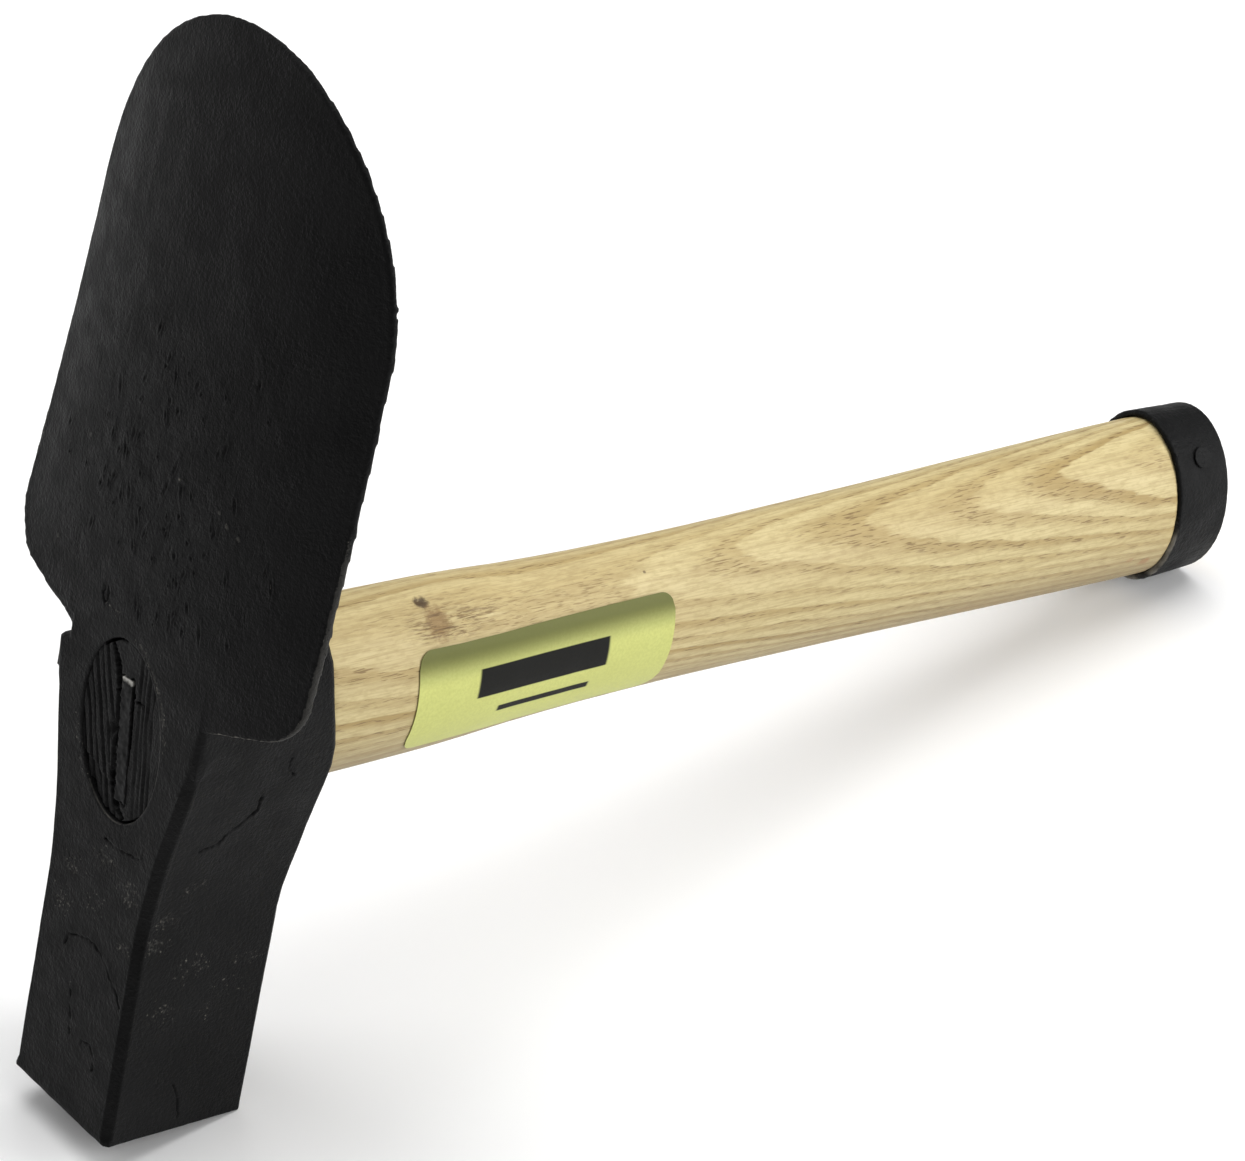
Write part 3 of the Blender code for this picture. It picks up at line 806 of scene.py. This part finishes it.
def build_label(handle):
    """The foil sticker wrapped on the handle's side, its corners rounded."""
    corners = cad_shape("label")
    low = Vector([min(v.co[axis] for v in corners.verts) for axis in range(3)])
    high = Vector([max(v.co[axis] for v in corners.verts) for axis in range(3)])
    corners.free()
    wood = bmesh.new()
    wood.from_mesh(handle.data)
    surface = BVHTree.FromBMesh(wood)
    wood.free()
    builder = bmesh.new()
    mapping = builder.loops.layers.uv.new("print")
    places = {}
    sheets = [
        label_sheet(builder, surface, low, high, lift, places)
        for lift in (LABEL_OFF_WOOD, LABEL_OFF_WOOD + LABEL_THICKNESS)
    ]
    for sheet in sheets:
        for c in range(LABEL_COLUMNS):
            for r in range(LABEL_ROWS):
                quad = (sheet[c][r], sheet[c + 1][r], sheet[c + 1][r + 1], sheet[c][r + 1])
                builder.faces.new(quad)
    inner, outer = (border(sheet) for sheet in sheets)
    for i in range(len(inner)):
        j = (i + 1) % len(inner)
        builder.faces.new((inner[i], inner[j], outer[j], outer[i]))
    bmesh.ops.recalc_face_normals(builder, faces=builder.faces)
    for face in builder.faces:
        for loop in face.loops:
            loop[mapping].uv = places[loop.vert]
    label = add_piece("foil_label", builder, ["label"])
    label.data.shade_smooth()
    label.data.set_sharp_from_angle(angle=math.radians(40))
    return label


def label_sheet(builder, surface, low, high, lift, places):
    """One face of the label as a grid of points held off the wood, each with its print place."""
    middle, half = (low.z + high.z) / 2, (high.z - low.z) / 2
    sheet = []
    for c in range(LABEL_COLUMNS + 1):
        along = low.y + (high.y - low.y) * c / LABEL_COLUMNS
        from_end = min(along - low.y, high.y - along)
        inset = 0.0
        if from_end < LABEL_CORNER:
            inset = LABEL_CORNER - math.sqrt(LABEL_CORNER**2 - (LABEL_CORNER - from_end) ** 2)
        column = []
        for r in range(LABEL_ROWS + 1):
            height = middle + (half - inset) * (2 * r / LABEL_ROWS - 1)
            spot_on, normal = side_of_handle(surface, along, height)
            ripple = 0.05 * MM * (1 + noise.noise(Vector((along * 160, height * 160, 1.0))))
            vert = builder.verts.new(spot_on + normal * (lift + ripple))
            share_along = (along - low.y) / (high.y - low.y)
            places[vert] = (share_along, (height - low.z) / (high.z - low.z))
            column.append(vert)
        sheet.append(column)
    return sheet


def border(sheet):
    """The points round a sheet's edge, in order."""
    columns, rows = LABEL_COLUMNS, LABEL_ROWS
    bottom = [sheet[c][0] for c in range(columns + 1)]
    right = [sheet[columns][r] for r in range(1, rows + 1)]
    top = [sheet[c][rows] for c in range(columns - 1, -1, -1)]
    left = [sheet[0][r] for r in range(rows - 1, 0, -1)]
    return bottom + right + top + left


def side_of_handle(surface, along, height):
    """The point of the handle's right side at a place and height, and its smooth normal."""
    reach = 0.0012
    spots = []
    for dy, dz in ((0, 0), (reach, 0), (-reach, 0), (0, reach), (0, -reach)):
        start = Vector((0.05, along + dy, height + dz))
        spots.append(surface.ray_cast(start, Vector((-1, 0, 0)))[0])
    normal = (spots[1] - spots[2]).cross(spots[3] - spots[4]).normalized()
    if normal.x < 0:
        normal = -normal
    return spots[0], normal


# Materials

# Growth rings: where the pith lies from the handle's axis, the lean of the grain along the
# handle, and the spacing of the rings.
PITH_ANGLE = math.radians(222)
PITH_DISTANCE = 0.082
GRAIN_LEAN = 0.036
GRAIN_LEAN_ACROSS = 0.74 * GRAIN_LEAN
GRAIN_LEAN_UP = 0.67 * GRAIN_LEAN
RING_WIDTH = 2.3 * MM

# Plain bars printed on the label: their ends along it and up it, as shares of its size.
PRINTED_BARS = (((0.23, 0.74), (0.45, 0.74)), ((0.33, 0.69), (0.235, 0.300)))

# Knot, stains and specks in the wood: place, radius, strength, tone.
WOOD_SPOTS = (
    ((0.0050, 0.0580, 0.1220), (0.0022, 0.0026, 0.0022), 0.95, (0.060, 0.034, 0.015)),
    ((0.0095, 0.0605, 0.1185), (0.0050, 0.0042, 0.0060), 0.72, (0.21, 0.120, 0.046)),
    ((0.0076, 0.1254, 0.1182), (0.0005, 0.0006, 0.0008), 0.75, (0.10, 0.060, 0.030)),
    ((0.0143, 0.3020, 0.0904), (0.0022, 0.0028, 0.0016), 0.55, (0.30, 0.13, 0.060)),
    ((0.0150, 0.2950, 0.0925), (0.0014, 0.0018, 0.0010), 0.40, (0.32, 0.15, 0.070)),
)


def add(tree, kind, inputs=None, **settings):
    """A node with its settings made and its inputs given values or links."""
    made = tree.nodes.new(kind)
    for name, value in settings.items():
        setattr(made, name, value)
    for name, value in (inputs or {}).items():
        give(tree, made.inputs[name], value)
    return made


def give(tree, socket, value):
    if isinstance(value, bpy.types.NodeSocket):
        tree.links.new(value, socket)
    else:
        socket.default_value = value


def calc(tree, operation, first, second=0.0, third=0.0):
    made = tree.nodes.new("ShaderNodeMath")
    made.operation = operation
    for socket, value in zip(made.inputs, (first, second, third)):
        give(tree, socket, value)
    return made.outputs[0]


def blend(tree, share, first, second):
    made = tree.nodes.new("ShaderNodeMix")
    made.data_type = "RGBA"
    give(tree, made.inputs[0], share)
    for socket, value in zip((made.inputs[6], made.inputs[7]), (first, second)):
        give(tree, socket, colour(value))
    return made.outputs[2]


def colour(value):
    return (*value, 1.0) if isinstance(value, tuple) and len(value) == 3 else value


def remap(tree, value, low, high, to_low=0.0, to_high=1.0):
    made = add(tree, "ShaderNodeMapRange", interpolation_type="SMOOTHSTEP")
    for socket, setting in zip(made.inputs, (value, low, high, to_low, to_high)):
        give(tree, socket, setting)
    return made.outputs[0]


def stretched(tree, place, scale):
    made = add(tree, "ShaderNodeMapping", {"Vector": place, "Scale": scale})
    return made.outputs[0]


def speckle(tree, place, scale, detail=2.0, roughness=0.5):
    inputs = {"Vector": place, "Scale": scale, "Detail": detail, "Roughness": roughness}
    return add(tree, "ShaderNodeTexNoise", inputs).outputs["Fac"]


def attribute(tree, name):
    return add(tree, "ShaderNodeAttribute", attribute_name=name).outputs["Fac"]


def new_material(name):
    made = bpy.data.materials.new(name)
    made.use_nodes = True
    tree = made.node_tree
    back = HAMMER.inverted()
    turned = {
        "Vector": add(tree, "ShaderNodeTexCoord").outputs["Object"],
        "Location": back.to_translation(),
        "Rotation": back.to_euler(),
    }
    place = add(tree, "ShaderNodeMapping", turned).outputs[0]
    return made, tree, tree.nodes["Principled BSDF"], place


def wrinkle(tree, shader, layers):
    """Bump layers, each a height, how far it stands in metres, and its strength."""
    normal = None
    for height, distance, strength in layers:
        inputs = {"Height": height, "Distance": distance, "Strength": strength}
        if normal is not None:
            inputs["Normal"] = normal
        normal = add(tree, "ShaderNodeBump", inputs).outputs["Normal"]
    tree.links.new(normal, shader.inputs["Normal"])


def black_paint(name, base, specular):
    """Satin black paint over forged scale, rubbed to dull steel where it is worn, brightened to
    steel where the wear share carries a painted highlight, and darkened on the poll's chamfers as
    painted shade.
    """
    made, tree, shader, place = new_material(name)
    cloud = speckle(tree, place, 75, 4, 0.6)
    peel = speckle(tree, place, 950, 2, 0.6)
    paint = blend(tree, remap(tree, cloud, 0.30, 0.70), scaled(base, 0.70), scaled(base, 1.35))
    dust = remap(tree, speckle(tree, place, 1100, 3), 0.58, 0.76, 0.0, 0.40)
    paint = blend(tree, dust, paint, scaled(base, 3.0))
    # Painted shade: the chamfers' paint is darkened to a quarter, standing for their dark
    # reflection.
    ridge = calc(tree, "MULTIPLY", attribute(tree, "chamfer_shade"), 0.80)
    paint = blend(tree, ridge, paint, scaled(base, 0.25))
    # The wear share is real wear, and on the head it also carries painted highlights on the eye's
    # rim, the blade's left rim and the plate's right edge.
    worn = attribute(tree, "wear")
    flecks = speckle(tree, place, 1150, 4, 0.68)
    bare = remap(tree, calc(tree, "MULTIPLY_ADD", flecks, 0.9, worn), 0.90, 1.00)
    glint = calc(
        tree, "MULTIPLY", remap(tree, flecks, 0.58, 0.74), remap(tree, worn, 0.58, 0.50)
    )
    shine = calc(tree, "MAXIMUM", glint, remap(tree, worn, 0.68, 1.0))
    steel = blend(tree, shine, *BARE_STEEL)
    give(tree, shader.inputs["Base Color"], blend(tree, bare, paint, steel))
    gloss = remap(tree, speckle(tree, place, 150, 3), 0.3, 0.7, 0.48, 0.62)
    give(tree, shader.inputs["Roughness"], gloss)
    shader.inputs["Specular IOR Level"].default_value = specular
    creases = speckle(tree, stretched(tree, place, (900, 900, 420)), 1.0, 3, 0.6)
    creases = remap(tree, creases, 0.56, 0.66, 0.0, -1.0)
    layers = (
        (speckle(tree, place, 210, 2), 0.20 * MM, 0.30),
        (peel, 0.36 * MM, 0.85),
        (speckle(tree, place, 2300, 2), 0.16 * MM, 0.90),
        (calc(tree, "MULTIPLY", creases, attribute(tree, "pitted")), 0.28 * MM, 0.85),
        (calc(tree, "MULTIPLY", bare, -1.0), 0.05 * MM, 0.50),
    )
    wrinkle(tree, shader, layers)
    return made


def scaled(tone, factor):
    return tuple(factor * value for value in tone)


def ash_wood():
    """Ash: growth rings about a far-off pith, open pores in the early wood, fine fibres, and
    painted shade darkening it towards the underside.
    """
    made, tree, shader, place = new_material("ash_wood")
    axes = add(tree, "ShaderNodeSeparateXYZ", {"Vector": place}).outputs
    sway = speckle(tree, stretched(tree, place, (14, 5, 14)), 1.0, 2)
    wobble = speckle(tree, stretched(tree, place, (70, 10, 70)), 1.0, 2)
    across = calc(tree, "SUBTRACT", axes[0], PITH_DISTANCE * math.cos(PITH_ANGLE))
    rise = calc(tree, "SUBTRACT", axes[2], EYE_CENTRE.z + PITH_DISTANCE * math.sin(PITH_ANGLE))
    across = calc(tree, "MULTIPLY_ADD", axes[1], GRAIN_LEAN_ACROSS, across)
    rise = calc(tree, "MULTIPLY_ADD", axes[1], GRAIN_LEAN_UP, rise)
    squares = calc(tree, "MULTIPLY_ADD", across, across, calc(tree, "MULTIPLY", rise, rise))
    radius = calc(tree, "SQRT", squares)
    radius = calc(tree, "MULTIPLY_ADD", sway, 0.010, radius)
    radius = calc(tree, "MULTIPLY_ADD", wobble, 0.0022, radius)
    ragged = speckle(tree, stretched(tree, place, (420, 60, 420)), 1.0, 3, 0.6)
    radius = calc(tree, "MULTIPLY_ADD", ragged, 0.0009, radius)
    rings = calc(tree, "DIVIDE", radius, RING_WIDTH)
    year = calc(tree, "FLOOR", rings)
    season = calc(tree, "FRACT", rings)
    vigour = add(tree, "ShaderNodeTexWhiteNoise", {"W": year}, noise_dimensions="1D")
    early = calc(
        tree, "MULTIPLY", remap(tree, season, 0.25, 0.80), remap(tree, season, 1.0, 0.90)
    )
    strength = remap(tree, vigour.outputs["Value"], 0.0, 1.0, 0.35, 1.0)
    early = calc(tree, "MULTIPLY", early, strength)
    stain = speckle(tree, stretched(tree, place, (30, 7, 30)), 1.0, 3)
    fibre = speckle(tree, stretched(tree, place, (2400, 100, 2400)), 1.0, 3, 0.6)
    streak = speckle(tree, stretched(tree, place, (620, 26, 620)), 1.0, 3, 0.6)
    mottle = speckle(tree, stretched(tree, place, (900, 330, 900)), 1.0, 3, 0.6)
    pore = speckle(tree, stretched(tree, place, (3000, 230, 3000)), 1.0, 1, 0.5)
    pores = calc(tree, "MULTIPLY", remap(tree, pore, 0.56, 0.68), remap(tree, early, 0.05, 0.6))
    tone = blend(tree, early, (0.562, 0.472, 0.248), (0.358, 0.258, 0.101))
    tone = blend(tree, remap(tree, stain, 0.42, 0.66, 0.0, 0.45), tone, (0.405, 0.300, 0.128))
    tone = blend(tree, remap(tree, streak, 0.46, 0.64, 0.0, 0.26), tone, (0.300, 0.212, 0.090))
    tone = blend(tree, remap(tree, mottle, 0.44, 0.66, 0.0, 0.30), tone, (0.330, 0.240, 0.100))
    tone = blend(tree, remap(tree, fibre, 0.44, 0.62, 0.0, 0.30), tone, (0.290, 0.215, 0.092))
    tone = blend(tree, calc(tree, "MULTIPLY", pores, 0.72), tone, (0.165, 0.100, 0.040))
    # Painted shade: the wood darkens towards the handle's underside, evenly and then in mottled
    # patches, where shade falls.
    under = remap(tree, axes[2], 0.101, 0.083, 0.0, 1.0)
    tone = blend(tree, calc(tree, "MULTIPLY", under, 0.58), tone, (0.235, 0.185, 0.120))
    mottled_underside_shade = remap(tree, speckle(tree, stretched(tree, place, (260, 26, 260)), 1.0, 3), 0.5, 0.72)
    mottled_underside_shade = calc(tree, "MULTIPLY", calc(tree, "MULTIPLY", under, mottled_underside_shade), 0.45)
    tone = blend(tree, mottled_underside_shade, tone, (0.30, 0.19, 0.08))
    for centre, radius, share, brown in WOOD_SPOTS:
        inside = spot(tree, place, centre, radius)
        tone = blend(tree, calc(tree, "MULTIPLY", inside, share), tone, brown)
    torn = attribute(tree, "torn")
    shreds = speckle(tree, stretched(tree, place, (1900, 150, 1900)), 1.0, 3, 0.65)
    dirt = calc(tree, "MULTIPLY", torn, remap(tree, shreds, 0.50, 0.62))
    tone = blend(tree, calc(tree, "MULTIPLY", dirt, 0.85), tone, (0.15, 0.090, 0.038))
    give(tree, shader.inputs["Base Color"], tone)
    give(tree, shader.inputs["Roughness"], remap(tree, fibre, 0.3, 0.7, 0.50, 0.66))
    shader.inputs["Specular IOR Level"].default_value = 0.30
    layers = (
        (fibre, 0.12 * MM, 0.45),
        (calc(tree, "MULTIPLY", pores, -1.0), 0.14 * MM, 0.60),
        (calc(tree, "MULTIPLY", shreds, torn), 0.50 * MM, 0.60),
    )
    wrinkle(tree, shader, layers)
    return made


def spot(tree, place, centre, size):
    """1 in the middle of an uneven spot, falling to nothing at its size along each axis."""
    uneven = speckle(tree, place, 900, 2)
    offset = add(tree, "ShaderNodeVectorMath", {0: place, 1: centre}, operation="SUBTRACT")
    inputs = {0: offset.outputs[0], 1: size}
    scaled_offset = add(tree, "ShaderNodeVectorMath", inputs, operation="DIVIDE")
    inputs = {0: scaled_offset.outputs[0]}
    reach = add(tree, "ShaderNodeVectorMath", inputs, operation="LENGTH").outputs["Value"]
    return remap(tree, calc(tree, "MULTIPLY_ADD", uneven, 0.9, reach), 1.45, 0.85)


def bare_steel():
    """The wedge's dull steel, under a thin spatter of the head's paint."""
    made, tree, shader, place = new_material("wedge_steel")
    scratch = speckle(tree, stretched(tree, place, (900, 900, 90)), 1.0, 3, 0.6)
    cloud = speckle(tree, place, 700, 3)
    worn = attribute(tree, "wear")
    shine = remap(tree, calc(tree, "MULTIPLY_ADD", cloud, 0.6, worn), 0.80, 1.15)
    dark = blend(tree, scratch, (0.0040, 0.0040, 0.0042), (0.0085, 0.0085, 0.0085))
    give(tree, shader.inputs["Base Color"], blend(tree, shine, dark, (0.42, 0.41, 0.38)))
    give(tree, shader.inputs["Metallic"], calc(tree, "MULTIPLY", shine, 0.5))
    give(tree, shader.inputs["Roughness"], remap(tree, cloud, 0.3, 0.7, 0.50, 0.64))
    shader.inputs["Specular IOR Level"].default_value = 0.12
    wrinkle(tree, shader, ((scratch, 0.08 * MM, 0.4), (cloud, 0.12 * MM, 0.5)))
    return made


def foil():
    """Yellow-green foil with painted shade along its top edge and two plain dark bars printed on
    it.
    """
    made, tree, shader, place = new_material("label_foil")
    spot_on = add(tree, "ShaderNodeUVMap", uv_map="print").outputs["UV"]
    axes = add(tree, "ShaderNodeSeparateXYZ", {"Vector": spot_on}).outputs
    flake = speckle(tree, place, 1500, 3)
    cloud = speckle(tree, stretched(tree, place, (30, 60, 60)), 1.0, 2)
    gold = blend(tree, remap(tree, flake, 0.3, 0.7), (0.47, 0.490, 0.138), (0.535, 0.556, 0.170))
    gold = blend(tree, remap(tree, cloud, 0.40, 0.72, 0.0, 0.30), gold, (0.45, 0.465, 0.130))
    # Painted shade: the foil's top edge is darkened and made less metallic and shiny, standing for
    # the dark reflection it shows there.
    shade = remap(tree, axes[1], *LABEL_SHADE)
    gold = blend(tree, calc(tree, "MULTIPLY", shade, 0.92), gold, (0.095, 0.100, 0.028))
    ink = calc(
        tree,
        "MAXIMUM",
        *(bar(tree, axes, along, up) for along, up in PRINTED_BARS),
    )
    give(tree, shader.inputs["Base Color"], blend(tree, ink, gold, (0.007, 0.007, 0.006)))
    dull = calc(tree, "MAXIMUM", ink, shade)
    give(tree, shader.inputs["Metallic"], remap(tree, dull, 0.0, 1.0, 0.25, 0.0))
    give(tree, shader.inputs["Specular IOR Level"], remap(tree, dull, 0.0, 1.0, 0.5, 0.10))
    give(tree, shader.inputs["Roughness"], remap(tree, flake, 0.3, 0.7, 0.38, 0.50))
    layers = ((cloud, 0.25 * MM, 0.25), (flake, 0.02 * MM, 0.4), (ink, 0.02 * MM, 0.5))
    wrinkle(tree, shader, layers)
    return made


def bar(tree, axes, along, up):
    """1 inside a plain printed bar, between its ends along the label and up it."""
    soft = 0.006
    inside = remap(tree, axes[0], along[0] - soft, along[0] + soft)
    inside = calc(tree, "MULTIPLY", inside, remap(tree, axes[0], along[1] + soft, along[1] - soft))
    inside = calc(tree, "MULTIPLY", inside, remap(tree, axes[1], up[0] - soft, up[0] + soft))
    return calc(tree, "MULTIPLY", inside, remap(tree, axes[1], up[1] + soft, up[1] - soft))


def pale_ground():
    """The matt, nearly white floor."""
    made, tree, shader, place = new_material("pale_ground")
    cloud = speckle(tree, place, 3.0, 3)
    tone = blend(tree, remap(tree, cloud, 0.3, 0.7), (0.94, 0.94, 0.94), (0.96, 0.96, 0.96))
    give(tree, shader.inputs["Base Color"], tone)
    shader.inputs["Roughness"].default_value = 0.9
    shader.inputs["Specular IOR Level"].default_value = 0.1
    return made


def dress(item, look):
    """Gives a finished piece its material and stands it where it belongs in the row frame."""
    item.data.transform(HAMMER)
    item.data.materials.clear()
    item.data.materials.append(look)
    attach(item, "root")


# Studio


def aim(item, place, target):
    """Stands a lamp or camera at a place, looking at the target."""
    item.location = place
    item.rotation_euler = (Vector(target) - Vector(place)).to_track_quat("-Z", "Y").to_euler()


def soft_box(name, place, target, size, watts):
    light = bpy.data.lights.new(name, "AREA")
    light.shape = "RECTANGLE"
    light.size, light.size_y = size
    light.energy = watts
    item = bpy.data.objects.new(name, light)
    bpy.context.scene.collection.objects.link(item)
    aim(item, place, target)


def build_studio():
    """A pale floor under soft boxes."""
    builder = bmesh.new()
    bmesh.ops.create_grid(builder, x_segments=8, y_segments=8, size=5.0)
    mesh = bpy.data.meshes.new("ground")
    builder.to_mesh(mesh)
    builder.free()
    ground = bpy.data.objects.new("ground", mesh)
    bpy.context.scene.collection.objects.link(ground)
    mesh.materials.append(pale_ground())
    world = bpy.data.worlds.new("studio")
    world.use_nodes = True
    background = world.node_tree.nodes["Background"]
    background.inputs["Color"].default_value = (1.0, 1.0, 1.0, 1.0)
    background.inputs["Strength"].default_value = GLOW
    bpy.context.scene.world = world
    for name, place, target, size, watts in LAMPS:
        soft_box(name, place, target, size, watts)


def build_camera():
    """A long lens looking down on the hammer's front and right side."""
    back = Vector(
        (
            math.sin(VIEW_AZIMUTH) * math.cos(VIEW_ELEVATION),
            -math.cos(VIEW_AZIMUTH) * math.cos(VIEW_ELEVATION),
            math.sin(VIEW_ELEVATION),
        )
    )
    lens = bpy.data.cameras.new("view")
    lens.lens = LENS
    lens.sensor_width = SENSOR
    lens.clip_start = 0.05
    lens.clip_end = 30.0
    camera = bpy.data.objects.new("view", lens)
    bpy.context.scene.collection.objects.link(camera)
    aim(camera, VIEW_TARGET + back * VIEW_DISTANCE, VIEW_TARGET)
    bpy.context.scene.camera = camera


def main():
    head = build_head()
    handle = build_handle()
    label = build_label(handle)
    dress(head, black_paint("head_paint", *HEAD_PAINT))
    dress(handle, ash_wood())
    dress(build_tenon(), black_paint("tenon_paint", *TENON_PAINT))
    dress(build_wedge(), bare_steel())
    dress(build_ferrule(), black_paint("band_paint", *BAND_PAINT))
    dress(build_nail(), black_paint("nail_paint", *BAND_PAINT))
    dress(label, foil())
    build_studio()
    build_camera()
    bpy.context.scene.view_settings.view_transform = "Standard"


main()
